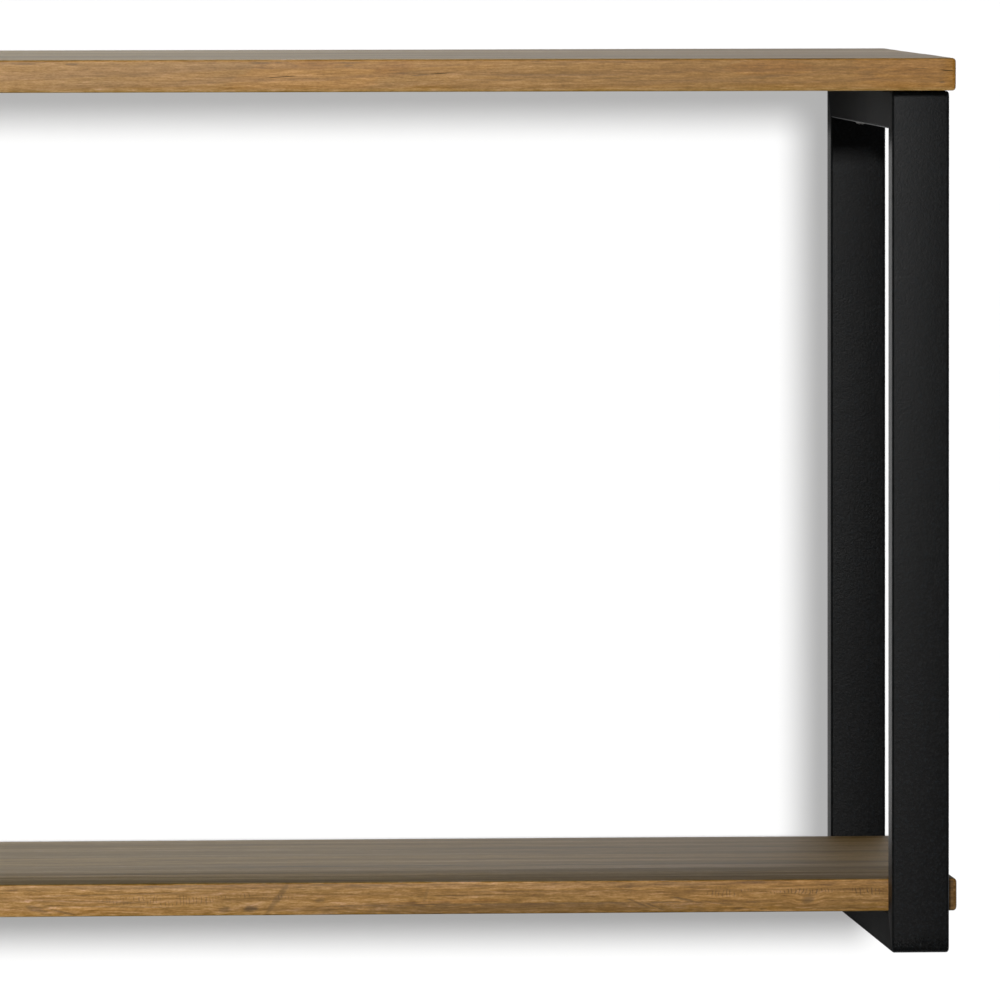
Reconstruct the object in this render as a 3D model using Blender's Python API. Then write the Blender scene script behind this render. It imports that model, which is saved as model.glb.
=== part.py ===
"""Hanging wall shelf: two pine boards carried by two welded loops of rectangular steel tube.

The upper board lies on the loops and the lower board passes through them. Pan-head screws driven
up through the bars hold both boards, and the shelf hangs on two wall screws that hook into keyhole
slots in the back of the rear posts.

Metres, +Z up, +X along the boards, -Y into the room. The origin is on the wall, midway between the
two points where the wall screws carry the shelf.
"""
from math import asin, cos, pi, radians, sin, sqrt, tau

import bmesh
import bpy
from mathutils import Matrix, Vector

# Boards
BOARD_THICKNESS = 0.017
LONG_EDGE_EASE = 0.001
END_EDGE_EASE = 0.002

# Loop frames, the width of the tube running along the boards
FRAME_SPAN = 1.490
FRAME_HEIGHT = 0.450
FRAME_DEPTH = 0.345
TUBE_WIDTH = 0.030
TUBE_DEPTH = 0.020
TUBE_WALL = 0.0015
TUBE_EDGE_RADIUS = 0.0015
TUBE_BORE_RADIUS = 0.0005
LOOP_CORNER_RADIUS = 0.0035

# How the boards and tubes lie on each other
UPPER_END_OVERHANG = 0.003
LOWER_END_OVERHANG = 0.0065
FRONT_OVERHANG = 0.005
LOWER_BOARD_CLEARANCE = 0.0025
SEAT_GAP = 0.0003
SEAM_GAP = 0.0003

# Pan-head screws, driven up through the bars
REAR_SCREW_TO_POST = 0.015
FRONT_SCREW_TO_POST = 0.045
SCREW_DIAMETER = 0.004
WOOD_OVER_SCREW = 0.005
SCREW_TIP = 0.004
SCREW_HOLE_CLEARANCE = 0.0005
PILOT_CLEARANCE = 0.0003
PILOT_SPARE_DEPTH = 0.001
HEAD_DIAMETER = 0.0065
HEAD_HEIGHT = 0.0031
HEAD_RIM = 0.0006
RECESS_LENGTH = 0.0036
RECESS_WIDTH = 0.001
RECESS_DEPTH = 0.0014

# Keyhole slots in the back wall of the rear posts
HANG_DROP = 0.045
KEYHOLE_ENTRY_DIAMETER = 0.010
KEYHOLE_SLOT_WIDTH = 0.005
KEYHOLE_RISE = 0.011

# How finely round forms are divided
EDGE_STEPS = 3
CORNER_STEPS = 3
EASE_STEPS = 2
SCREW_SIDES = 16
HEAD_STEPS = 4
KEYHOLE_STEPS = 12
SHARP_ANGLE = radians(35)

# Places worked out from the sizes above
FRAME_TOP = HANG_DROP
FRAME_BOTTOM = FRAME_TOP - FRAME_HEIGHT
FRAME_MIDDLE_X = FRAME_SPAN / 2 - TUBE_WIDTH / 2
FRAME_MIDDLE_Y = -FRAME_DEPTH / 2
FRAME_MIDDLE_Z = (FRAME_TOP + FRAME_BOTTOM) / 2
UPPER_BOARD_LENGTH = FRAME_SPAN + 2 * UPPER_END_OVERHANG
UPPER_BOARD_DEPTH = FRAME_DEPTH + FRONT_OVERHANG
UPPER_BOARD_BOTTOM = FRAME_TOP + SEAT_GAP
LOWER_BOARD_LENGTH = FRAME_SPAN + 2 * LOWER_END_OVERHANG
LOWER_BOARD_DEPTH = FRAME_DEPTH - 2 * (TUBE_DEPTH + LOWER_BOARD_CLEARANCE)
LOWER_BOARD_BOTTOM = FRAME_BOTTOM + TUBE_DEPTH + SEAT_GAP
SCREW_BITE = BOARD_THICKNESS - WOOD_OVER_SCREW
SCREW_LENGTH = SEAT_GAP + TUBE_DEPTH + SEAT_GAP + SCREW_BITE
REAR_SCREW_Y = -TUBE_DEPTH - REAR_SCREW_TO_POST
FRONT_SCREW_Y = TUBE_DEPTH + FRONT_SCREW_TO_POST - FRAME_DEPTH
SCREW_PLACES_Y = (REAR_SCREW_Y, FRONT_SCREW_Y)
CUT_OVERRUN = TUBE_WALL
TUBE_SIDES = (
    ("top_bar", 0.0, FRAME_DEPTH, FRAME_HEIGHT),
    ("front_post", 90.0, FRAME_HEIGHT, FRAME_DEPTH),
    ("bottom_bar", 180.0, FRAME_DEPTH, FRAME_HEIGHT),
    ("rear_post", 270.0, FRAME_HEIGHT, FRAME_DEPTH),
)


def clear_scene():
    for obj in list(bpy.data.objects):
        bpy.data.objects.remove(obj, do_unlink=True)


def make_material(name, colour, roughness, metallic):
    material = bpy.data.materials.new(name)
    material.use_nodes = True
    shader = material.node_tree.nodes["Principled BSDF"]
    shader.inputs["Base Color"].default_value = (*colour, 1.0)
    shader.inputs["Roughness"].default_value = roughness
    shader.inputs["Metallic"].default_value = metallic
    material.diffuse_color = (*colour, 1.0)
    return material


def add_empty(name, parent=None):
    empty = bpy.data.objects.new(name, None)
    bpy.context.collection.objects.link(empty)
    empty.parent = parent
    return empty


def add_object(name, bm, location, parent, material=None):
    """Turn a bmesh into a named object under an empty."""
    bmesh.ops.recalc_face_normals(bm, faces=bm.faces[:])
    mesh = bpy.data.meshes.new(name)
    bm.to_mesh(mesh)
    bm.free()
    mesh.shade_smooth()
    mesh.set_sharp_from_angle(angle=SHARP_ANGLE)
    if material:
        mesh.materials.append(material)
    obj = bpy.data.objects.new(name, mesh)
    bpy.context.collection.objects.link(obj)
    obj.location = location
    obj.parent = parent
    return obj


def cut(obj, name, bm, location, parent):
    """Take a shape out of an object, keeping the shape as a hidden cutter."""
    cutter = add_object(name, bm, location, parent)
    cutter.hide_render = True
    cutter.display_type = "WIRE"
    modifier = obj.modifiers.new(name, "BOOLEAN")
    modifier.operation = "DIFFERENCE"
    modifier.object = cutter


def extrude_outline(bm, points, height):
    """Close an outline in the XY plane and raise it along Z."""
    face = bm.faces.new([bm.verts.new((x, y, 0.0)) for x, y in points])
    raised = bmesh.ops.extrude_face_region(bm, geom=[face])["geom"]
    verts = [item for item in raised if isinstance(item, bmesh.types.BMVert)]
    bmesh.ops.translate(bm, verts=verts, vec=(0.0, 0.0, height))


def add_bores(bm, places, diameter, depth):
    """Upright cylinders, each starting at z = 0, for cutting round holes."""
    for x, y in places:
        bmesh.ops.create_cone(
            bm, cap_ends=True, segments=SCREW_SIDES, radius1=diameter / 2, radius2=diameter / 2,
            depth=depth, matrix=Matrix.Translation((x, y, depth / 2)),
        )


def add_board(name, length, depth, middle_y, bottom_z, parent, material):
    """A plank with eased long edges, rounder ends and pilot holes for the screws in its underside."""
    bm = bmesh.new()
    bmesh.ops.create_cube(bm, size=1.0)
    bmesh.ops.scale(bm, vec=(length, depth, BOARD_THICKNESS), verts=bm.verts)
    weights = bm.edges.layers.float.new("bevel_weight_edge")
    for edge in bm.edges:
        along = edge.verts[1].co - edge.verts[0].co
        runs_along_board = abs(along.x) > 0
        edge[weights] = LONG_EDGE_EASE / END_EDGE_EASE if runs_along_board else 1.0
    middle_z = bottom_z + BOARD_THICKNESS / 2
    board = add_object(name, bm, (0.0, middle_y, middle_z), parent, material)

    ease = board.modifiers.new("eased_edges", "BEVEL")
    ease.width = END_EDGE_EASE
    ease.segments = EASE_STEPS
    ease.limit_method = "WEIGHT"

    holes = bmesh.new()
    places = [(side * FRAME_MIDDLE_X, y) for side in (-1, 1) for y in SCREW_PLACES_Y]
    diameter = SCREW_DIAMETER + 2 * PILOT_CLEARANCE
    depth_of_hole = CUT_OVERRUN + SCREW_BITE + PILOT_SPARE_DEPTH
    add_bores(holes, places, diameter, depth_of_hole)
    cut(board, f"{name}_pilot_holes", holes, (0.0, 0.0, bottom_z - CUT_OVERRUN), parent)


def tube_section(inset, radius):
    """Outline of the tube as (across, in from the loop's outer face), shrunk by an inset."""
    across = TUBE_WIDTH / 2 - inset - radius
    near = inset + radius
    far = TUBE_DEPTH - inset - radius
    centres = ((across, near), (across, far), (-across, far), (-across, near))
    points = []
    for quarter, (centre_across, centre_in) in enumerate(centres):
        for step in range(EDGE_STEPS + 1):
            angle = pi / 2 * (quarter - 1 + step / EDGE_STEPS)
            points.append((centre_across + radius * cos(angle), centre_in + radius * sin(angle)))
    return points


def tube_shell(bm, length, section):
    """Sweep a section along Y into rings that round the loop's corner and end on its mitre."""
    turns = [radians(45) * step / CORNER_STEPS for step in range(CORNER_STEPS + 1)]
    stations = [(-1, turn) for turn in reversed(turns)] + [(1, turn) for turn in turns]
    rings = []
    for end, turn in stations:
        sink = LOOP_CORNER_RADIUS * (1 - cos(turn))
        setback = LOOP_CORNER_RADIUS * (cos(turn) - sin(turn)) + SEAM_GAP / sqrt(2)
        ring = []
        for across, inward in section:
            depth = inward + sink if inward < TUBE_DEPTH / 2 else inward
            along = length / 2 - depth - setback
            ring.append(bm.verts.new((across, end * along, -depth)))
        rings.append(ring)
    for ring, following in zip(rings, rings[1:]):
        join_rings(bm, ring, following)
    return rings


def join_rings(bm, ring, other):
    for index in range(len(ring)):
        after = (index + 1) % len(ring)
        bm.faces.new((ring[index], ring[after], other[after], other[index]))


def add_tube(name, length, turn, location, parent, material):
    """A hollow tube with mitred ends, its outer face at z = 0 before it is turned into the loop."""
    bm = bmesh.new()
    outside = tube_shell(bm, length, tube_section(0.0, TUBE_EDGE_RADIUS))
    inside = tube_shell(bm, length, tube_section(TUBE_WALL, TUBE_BORE_RADIUS))
    for end in (0, -1):
        join_rings(bm, outside[end], inside[end])
    tube = add_object(name, bm, location, parent, material)
    tube.rotation_euler.x = radians(turn)
    return tube


def keyhole_outline():
    """Round entry below a narrower slot whose round upper end is centred on the origin."""
    slot = KEYHOLE_SLOT_WIDTH / 2
    entry = KEYHOLE_ENTRY_DIAMETER / 2
    shoulder = asin(slot / entry)
    points = []
    for step in range(KEYHOLE_STEPS + 1):
        angle = pi * step / KEYHOLE_STEPS
        points.append((slot * cos(angle), slot * sin(angle)))
    for step in range(2 * KEYHOLE_STEPS + 1):
        angle = pi / 2 + shoulder + (tau - 2 * shoulder) * step / (2 * KEYHOLE_STEPS)
        points.append((entry * cos(angle), entry * sin(angle) - KEYHOLE_RISE))
    return points


def cut_keyhole(post, x, parent):
    """Cut the keyhole through the back wall of a rear post only."""
    bm = bmesh.new()
    extrude_outline(bm, keyhole_outline(), TUBE_WALL + 2 * CUT_OVERRUN)
    bmesh.ops.rotate(bm, verts=bm.verts, matrix=Matrix.Rotation(pi / 2, 3, "X"))
    cut(post, f"{post.name}_keyhole", bm, (x, CUT_OVERRUN, 0.0), parent)


def cut_screw_holes(bar, x, bottom_z, parent):
    """Cut the clearance holes for the screws through both walls of a bar."""
    bm = bmesh.new()
    places = [(x, y) for y in SCREW_PLACES_Y]
    diameter = SCREW_DIAMETER + 2 * SCREW_HOLE_CLEARANCE
    add_bores(bm, places, diameter, TUBE_DEPTH + 2 * CUT_OVERRUN)
    cut(bar, f"{bar.name}_screw_holes", bm, (0.0, 0.0, bottom_z - CUT_OVERRUN), parent)


def add_frame(side_name, x, parent, material):
    """Four mitred tubes that make one loop in the plane across the boards."""
    loop = add_empty(f"{side_name}_frame", parent)
    for tube_name, turn, length, span in TUBE_SIDES:
        outward = span / 2
        y = FRAME_MIDDLE_Y - outward * sin(radians(turn))
        z = FRAME_MIDDLE_Z + outward * cos(radians(turn))
        tube = add_tube(f"{side_name}_{tube_name}", length, turn, (x, y, z), loop, material)
        if tube_name == "rear_post":
            cut_keyhole(tube, x, loop)
        if tube_name == "top_bar":
            cut_screw_holes(tube, x, FRAME_TOP - TUBE_DEPTH, loop)
        if tube_name == "bottom_bar":
            cut_screw_holes(tube, x, FRAME_BOTTOM, loop)


def screw_profile():
    """Half outline of a pan-head screw, from the crown of its head below to its tip above."""
    rise = HEAD_HEIGHT - HEAD_RIM
    points = []
    for step in range(HEAD_STEPS + 1):
        angle = pi / 2 * step / HEAD_STEPS
        points.append((HEAD_DIAMETER / 2 * sin(angle), -HEAD_RIM - rise * cos(angle)))
    points.append((HEAD_DIAMETER / 2, 0.0))
    points.append((SCREW_DIAMETER / 2, 0.0))
    points.append((SCREW_DIAMETER / 2, SCREW_LENGTH - SCREW_TIP))
    points.append((0.0, SCREW_LENGTH))
    return points


def cross_outline():
    """Outline of the cross recess in a screw head."""
    long_arm = RECESS_LENGTH / 2
    short_arm = RECESS_WIDTH / 2
    points = []
    for quarter in range(4):
        turn = Matrix.Rotation(pi / 2 * quarter, 2)
        for corner in ((long_arm, -short_arm), (long_arm, short_arm), (short_arm, short_arm)):
            points.append(tuple(turn @ Vector(corner)))
    return points


def add_screw(name, x, y, seat_z, parent, material):
    """A pan-head screw pointing up, the underside of its head at the origin."""
    bm = bmesh.new()
    verts = [bm.verts.new((radius, 0.0, z)) for radius, z in screw_profile()]
    edges = [bm.edges.new(pair) for pair in zip(verts, verts[1:])]
    bmesh.ops.spin(
        bm, geom=verts + edges, cent=(0.0, 0.0, 0.0), axis=(0.0, 0.0, 1.0), angle=tau,
        steps=SCREW_SIDES, use_merge=True,
    )
    bmesh.ops.remove_doubles(bm, verts=bm.verts, dist=SEAT_GAP / 10)
    place = (x, y, seat_z - SEAT_GAP)
    screw = add_object(name, bm, place, parent, material)

    recess = bmesh.new()
    extrude_outline(recess, cross_outline(), CUT_OVERRUN + RECESS_DEPTH)
    low = place[2] - HEAD_HEIGHT - CUT_OVERRUN
    cut(screw, f"{name}_recess", recess, (x, y, low), parent)


def add_screws(side_name, x, parent, material):
    """Four screws in each loop: a rear and a front one up through each bar."""
    seats = (("upper", FRAME_TOP - TUBE_DEPTH), ("lower", FRAME_BOTTOM))
    for level, seat_z in seats:
        for place, y in zip(("rear", "front"), SCREW_PLACES_Y):
            add_screw(f"{side_name}_{level}_{place}_screw", x, y, seat_z, parent, material)


def build_shelf():
    clear_scene()
    pine = make_material("stained_pine", (0.36, 0.20, 0.075), 0.55, 0.0)
    coating = make_material("black_powder_coat", (0.022, 0.023, 0.024), 0.5, 0.0)
    screw_steel = make_material("blackened_screw_steel", (0.05, 0.05, 0.052), 0.4, 1.0)

    shelf = add_empty("hanging_shelf")
    boards = (
        ("upper_board", UPPER_BOARD_LENGTH, UPPER_BOARD_DEPTH, -UPPER_BOARD_DEPTH / 2, UPPER_BOARD_BOTTOM),
        ("lower_board", LOWER_BOARD_LENGTH, LOWER_BOARD_DEPTH, FRAME_MIDDLE_Y, LOWER_BOARD_BOTTOM),
    )
    for board in boards:
        add_board(*board, shelf, pine)
    for side_name, side in (("left", -1), ("right", 1)):
        add_frame(side_name, side * FRAME_MIDDLE_X, shelf, coating)
        add_screws(side_name, side * FRAME_MIDDLE_X, shelf, screw_steel)


build_shelf()
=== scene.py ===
"""Looks of the hanging wall shelf: two stained pine boards held in two black steel loops.

The boards get planed faces, eased edges, open checks and a solid pine figure. The tubes get fine
roundings, flush mitres and a textured powder coat. The stage is a pale wall and floor in soft light.
Metres, +Z up, +X along the boards, -Y into the room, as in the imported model.
"""
from functools import partial
from math import asin, atan, ceil, cos, pi, radians, sin, tan, tau
from typing import NamedTuple

import bmesh
import bpy
from bpy.props import FloatProperty, FloatVectorProperty, IntProperty, PointerProperty
from mathutils import Matrix, Vector, noise


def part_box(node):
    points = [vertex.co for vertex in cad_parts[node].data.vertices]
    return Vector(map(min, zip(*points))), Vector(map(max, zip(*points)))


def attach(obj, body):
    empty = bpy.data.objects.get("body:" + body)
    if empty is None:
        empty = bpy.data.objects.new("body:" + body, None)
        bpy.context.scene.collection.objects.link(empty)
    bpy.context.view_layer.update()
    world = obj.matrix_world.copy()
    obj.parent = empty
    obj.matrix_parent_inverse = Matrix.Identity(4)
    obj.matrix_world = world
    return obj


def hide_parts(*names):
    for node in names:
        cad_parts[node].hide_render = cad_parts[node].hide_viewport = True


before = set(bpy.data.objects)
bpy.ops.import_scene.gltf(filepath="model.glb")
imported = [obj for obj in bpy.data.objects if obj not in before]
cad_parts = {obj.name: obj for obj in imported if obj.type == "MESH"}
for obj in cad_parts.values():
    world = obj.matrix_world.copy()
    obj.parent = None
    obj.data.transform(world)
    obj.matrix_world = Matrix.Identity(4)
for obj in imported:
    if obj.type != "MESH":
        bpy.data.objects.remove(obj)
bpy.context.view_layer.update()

bl_info = {
    "name": "Hanging Wall Shelf",
    "version": (1, 0, 0),
    "blender": (4, 5, 0),
    "location": "View3D > Sidebar > Shelf",
    "description": "Finishes the boards, loop frames and screws of a hanging wall shelf and lights it",
    "category": "Object",
}

BODY = "root"

SIDES = ("left", "right")
LEVELS = ("upper", "lower")
SCREW_ENDS = ("rear", "front")

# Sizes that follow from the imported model
POST_LOW, POST_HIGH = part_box("right_front_post")
SCREW_LOW, SCREW_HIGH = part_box("right_upper_rear_screw")
SCREW_BITE = SCREW_HIGH.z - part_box("upper_board")[0].z
TUBE_WIDTH = POST_HIGH.x - POST_LOW.x
TUBE_DEPTH = POST_HIGH.y - POST_LOW.y
LOOP_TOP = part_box("right_top_bar")[1].z
LOOP_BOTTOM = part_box("right_bottom_bar")[0].z
LOOP_FRONT = POST_LOW.y
LOOP_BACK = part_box("right_rear_post")[1].y


class Mark(NamedTuple):
    """A mark on the front edge of a board, placed from the board's right end and its underside."""

    from_end: float
    rise: float
    length: float
    height: float
    strength: float
    slope: float = 0.0
    lean: float = 0.0

    def centre(self, low, high):
        """Where the mark lies on a board with these corners."""
        return Vector((high.x - self.from_end, low.y, low.z + self.rise))


# Listed one by one. A slope follows the board's length, a lean its height
UPPER_MARKS = {
    "knots": (
        Mark(0.3170, 0.0137, 0.0045, 0.0010, 0.45),
        Mark(0.0470, 0.0088, 0.0090, 0.0034, 0.30),
    ),
    "streaks": (
        Mark(0.3515, 0.0080, 0.0140, 0.0003, 0.90, slope=0.05),
        Mark(0.2800, 0.0088, 0.0080, 0.0007, 0.55, slope=0.05),
        Mark(0.2690, 0.0096, 0.0100, 0.0003, 0.75, slope=0.06),
        Mark(0.4850, 0.0150, 0.0120, 0.0009, 0.45),
        Mark(0.4600, 0.0148, 0.0080, 0.0010, 0.55),
        Mark(0.3610, 0.0152, 0.0150, 0.0010, 0.55),
        Mark(0.3160, 0.0152, 0.0200, 0.0009, 0.45),
        Mark(0.2150, 0.0088, 0.0700, 0.0009, 0.32),
        Mark(0.1950, 0.0070, 0.0550, 0.0008, 0.20),
        Mark(0.2400, 0.0062, 0.0400, 0.0008, 0.28),
        Mark(0.1500, 0.0056, 0.0600, 0.0008, 0.16),
        Mark(0.4300, 0.0086, 0.0500, 0.0009, 0.24),
        Mark(0.4150, 0.0085, 0.1400, 0.0300, 0.09),
        Mark(0.1020, 0.0078, 0.0300, 0.0022, 0.25, slope=0.06),
        Mark(0.0190, 0.0115, 0.0080, 0.0006, 0.50),
        Mark(0.0045, 0.0105, 0.0080, 0.0004, 0.80, slope=-0.08),
        Mark(0.0075, 0.0045, 0.0030, 0.0008, 0.60),
    ),
    "warm": (
        Mark(0.3350, 0.0085, 0.0800, 0.0400, 1.00, lean=1.4),
        Mark(0.2640, 0.0140, 0.0600, 0.0070, 0.80, lean=0.8),
        Mark(0.0980, 0.0118, 0.0460, 0.0085, 1.00),
        Mark(0.0000, 0.0085, 0.1100, 0.0400, 1.00, lean=-0.6),
        Mark(0.4700, 0.0130, 0.0700, 0.0090, 0.50),
    ),
    "amber": (
        Mark(0.3340, 0.0148, 0.0240, 0.0055, 0.65, lean=0.4),
        Mark(0.2920, 0.0125, 0.0180, 0.0070, 0.65, slope=0.1, lean=0.6),
        Mark(0.0950, 0.0130, 0.0420, 0.0060, 0.40),
        Mark(0.0200, 0.0120, 0.0300, 0.0080, 0.35),
    ),
    "ticks": (),
}
LOWER_MARKS = {
    "knots": (
        Mark(0.3840, 0.0032, 0.0060, 0.0032, 0.55, lean=0.2),
        Mark(0.3700, 0.0034, 0.0075, 0.0036, 0.80),
        Mark(0.3340, 0.0082, 0.0050, 0.0026, 0.45, lean=0.4),
        Mark(0.4820, 0.0040, 0.0100, 0.0030, 0.50, slope=-0.3),
        Mark(0.2720, 0.0040, 0.0120, 0.0034, 0.60, slope=0.2),
        Mark(0.2330, 0.0044, 0.0110, 0.0026, 0.55),
        Mark(0.0785, 0.0062, 0.0060, 0.0050, 0.60, lean=0.5),
    ),
    "streaks": (
        Mark(0.3570, 0.0082, 0.0038, 0.0190, 0.48, lean=0.67),
        Mark(0.4690, 0.0026, 0.0140, 0.0010, 0.50, slope=-0.25),
        Mark(0.2350, 0.0024, 0.2300, 0.0058, 0.54),
        Mark(0.2350, 0.0051, 0.2000, 0.0012, 0.64, slope=0.004),
        Mark(0.2900, 0.0062, 0.0500, 0.0009, 0.40, slope=0.02),
        Mark(0.1660, 0.0044, 0.0130, 0.0014, 0.72, slope=-0.40),
        Mark(0.1590, 0.0032, 0.0110, 0.0014, 0.72, slope=-0.40),
        Mark(0.1720, 0.0056, 0.0050, 0.0010, 0.55),
        Mark(0.1420, 0.0066, 0.0180, 0.0011, 0.62, slope=-0.22),
        Mark(0.1250, 0.0048, 0.0180, 0.0010, 0.50, slope=-0.12),
        Mark(0.0600, 0.0024, 0.0700, 0.0022, 0.35),
        Mark(0.4300, 0.0118, 0.0900, 0.0009, 0.35, slope=0.02),
        Mark(0.4540, 0.0080, 0.0700, 0.0008, 0.35, slope=-0.02),
        Mark(0.4440, 0.0052, 0.0800, 0.0008, 0.35, slope=-0.02),
        Mark(0.3400, 0.0028, 0.0500, 0.0026, 0.40),
        Mark(0.3430, 0.0085, 0.1100, 0.0300, 0.09),
        Mark(0.2080, 0.0118, 0.1200, 0.0008, 0.30),
        Mark(0.2600, 0.0098, 0.0800, 0.0008, 0.30, slope=0.01),
        Mark(0.1100, 0.0036, 0.0900, 0.0009, 0.30),
        Mark(0.1730, 0.0132, 0.0060, 0.0008, 0.40),
        Mark(0.2790, 0.0098, 0.0020, 0.0090, 0.25, lean=0.3),
    ),
    "warm": (
        Mark(0.2300, 0.0140, 0.2200, 0.0060, 0.50),
        Mark(0.4700, 0.0130, 0.1500, 0.0070, 0.45),
        Mark(0.1000, 0.0120, 0.1600, 0.0070, 0.55),
        Mark(0.2700, 0.0068, 0.0700, 0.0014, 1.00, slope=0.02),
        Mark(0.4500, 0.0040, 0.0700, 0.0016, 0.80),
    ),
    "amber": (
        Mark(0.2600, 0.0064, 0.0700, 0.0014, 0.45, slope=0.02),
        Mark(0.2250, 0.0052, 0.0160, 0.0020, 0.45),
        Mark(0.1800, 0.0022, 0.0300, 0.0018, 0.35),
        Mark(0.0700, 0.0150, 0.1100, 0.0030, 0.30),
        Mark(0.3750, 0.0150, 0.0500, 0.0022, 0.30),
    ),
    "ticks": (
        Mark(0.4140, 0.0083, 0.0640, 0.0056, 0.70),
        Mark(0.3750, 0.0102, 0.0240, 0.0030, 0.70),
        Mark(0.3550, 0.0098, 0.0240, 0.0024, 0.80),
        Mark(0.1190, 0.0108, 0.0240, 0.0056, 0.80),
        Mark(0.0810, 0.0106, 0.0360, 0.0030, 1.00),
        Mark(0.0480, 0.0105, 0.0240, 0.0036, 1.00),
    ),
}
# How ragged and how soft the rim of each kind of mark is
MARK_RIMS = {"knots": (4.0, 1.0), "streaks": (3.5, 0.9), "warm": (0.9, 0.22), "amber": (3.0, 0.9),
             "ticks": (2.0, 0.7)}
MARK_DEPTH = 0.03
KNOT_BEND = 0.25
TICK_WANDER = 18.0
TICK_SHADE = -0.52
GLUE_SHADE = -0.35
END_SHADE = -0.13
EDGE_WEAR = 0.10
WEAR_PATCH = 0.02
# How far in from the top, the underside and the ends the honey rim, the painted light on the lower edge
# and the painted shadow at the ends start and stop
HONEY_RIM = (0.0032, 0.0008)
LOW_EDGE_LIGHT = (0.0002, 0.0026)
END_STRIP = (0.012, 0.003)
# How far in the painted shade along the front of a top starts to fade at most, how much that varies, and
# the width of the fade
FRONT_START = 0.030
FRONT_WANDER = 0.060
FRONT_FADE = 0.120
# Light fibres are paler too, so the blue part of the colour swings most
FIBRE_POWERS = (1.0, 1.2, 2.8)
# A streak at least this strong is an open check
MARK_IS_OPEN = 0.75

# What sets one board apart from the other: its marks, the seed and contrast of its figure, the painted
# shade along the front of its top, the painted light on its lower edge, how dull its top is and gets
# toward the ends, and how much darker it is toward the ends, as painted falloff of the key light, as
# painted shade there on the top, and as the front post's painted shadow on the last millimetres
BOARD_LOOKS = {
    "upper": {"marks": UPPER_MARKS, "seed": 3.0, "contrast": 1.7, "front_painted_shade": 0.0, "low_edge": 0.7,
              "dullness": 0.003, "end_dull": 0.05, "light_falloff": 0.26, "top_painted_shade": 0.0, "end_painted_shadow": 0.0},
    "lower": {"marks": LOWER_MARKS, "seed": 17.0, "contrast": 2.2, "front_painted_shade": 0.40, "low_edge": 0.3,
              "dullness": 0.085, "end_dull": 0.06, "light_falloff": 0.23, "top_painted_shade": 0.28, "end_painted_shadow": 0.52},
}

# Kinds of settings
Length = partial(FloatProperty, unit="LENGTH")
Angle = partial(FloatProperty, subtype="ANGLE")
Share = partial(FloatProperty, subtype="FACTOR", min=0.0, max=1.0)
Place = partial(FloatVectorProperty, subtype="XYZ", unit="LENGTH")
Colour = partial(FloatVectorProperty, subtype="COLOR", size=3, min=0.0, max=1.0)


class ShelfBoardSettings(bpy.types.PropertyGroup):
    """Form and finish of the two boards."""

    stave_count: IntProperty(
        name="Staves", description="Strips of pine glued edge to edge in each board", default=5, min=1)
    long_edge_ease: Length(name="Long Edge Ease", description="Radius of the long edges", default=0.001)
    end_edge_ease: Length(
        name="End Edge Ease", description="Radius of the edges of the ends", default=0.002)
    station_pitch: Length(
        name="Station Pitch", description="Distance between points along a board", default=0.006)
    planing_wave: Length(
        name="Planing Wave", description="Height of the waves left by planing", default=0.00012)
    edge_knocks: Length(
        name="Edge Knocks", description="Depth of small knocks along the edges", default=0.0003)
    check_depth: Length(name="Check Depth", description="Depth of the open checks", default=0.0015)
    ring_spacing: Length(name="Ring Spacing", description="Width of one growth ring", default=0.0042)
    honey_wood: Colour(
        name="Honey Wood", description="Colour where the stain is thin", default=(0.326, 0.160, 0.0304))
    olive_wood: Colour(
        name="Olive Wood", description="Colour where the stain is thick", default=(0.284, 0.156, 0.0405))
    late_wood: Colour(
        name="Late Wood", description="Colour of the hard part of a ring",
        default=(0.184, 0.0864, 0.0176))
    amber_wood: Colour(
        name="Amber Wood", description="Colour of resinous patches", default=(0.248, 0.109, 0.0144))
    # Paler tan of the lower edge, which is painted light from the pale surroundings below
    worn_wood: Colour(
        name="Worn Wood", description="Colour of an edge that the stain has worn off",
        default=(0.336, 0.208, 0.072))
    knot_brown: Colour(
        name="Knot Brown", description="Colour of knots and checks", default=(0.060, 0.030, 0.006))
    # Painted sheen: the wide faces are mixed toward a greyer colour, as the pale surroundings reflect in
    # them at a low angle
    patina_grey: Colour(
        name="Patina Grey", description="Greyer colour that the stain takes on the wide faces",
        default=(0.230, 0.177, 0.045))
    patina: Share(name="Patina", description="How much the wide faces have greyed", default=0.6)
    ring_strength: Share(
        name="Ring Strength", description="How much of the growth rings shows", default=0.35)
    # Where the painted falloff of the key light toward the ends starts
    soak_start: Share(
        name="Soak Start", description="Where the stain starts to darken, as a share of the way to an end",
        default=0.32)
    tick_pitch: Length(
        name="Tick Pitch", description="Distance between the ticks that the saw left", default=0.0019)
    pilot_diameter: Length(
        name="Pilot Hole", description="Diameter of the screws' pilot holes", default=0.0046)


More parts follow.
